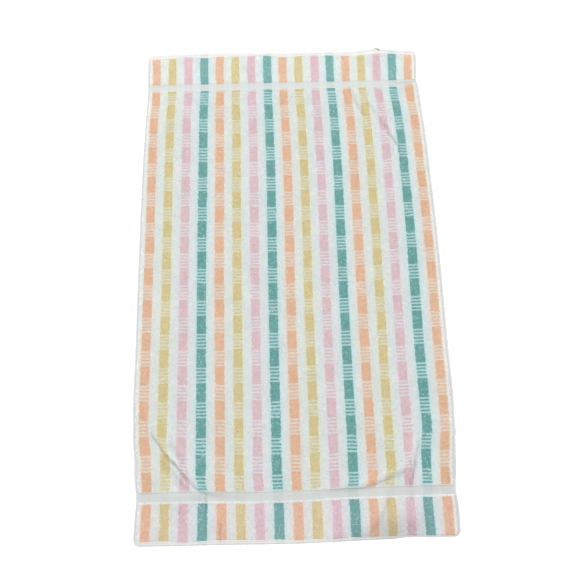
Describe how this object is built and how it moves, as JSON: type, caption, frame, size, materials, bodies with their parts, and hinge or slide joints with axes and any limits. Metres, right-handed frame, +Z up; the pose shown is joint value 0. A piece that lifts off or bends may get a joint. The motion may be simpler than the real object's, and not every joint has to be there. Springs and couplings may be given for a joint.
{
  "type": "bath towel laid open",
  "caption": "Striped terry bath towel lying open and flat, with flat-woven bands, plain-striped end borders, turned hems and soft creases.",
  "frame": {"origin": "middle of the towel's outline, on the surface it lies on", "axes": "+Y along the towel towards its top hem, +X across it to the right, +Z up out of the good side"},
  "size_m": [0.6222, 1.0612, 0.011],
  "materials": {
    "cotton_terry": "matt looped cotton terry, white with lengthwise orange, yellow, pink and teal stripes in blocks and ladders"
  },
  "bodies": {
    "root": {"bath_towel": "cotton_terry"}
  },
  "joints": []
}
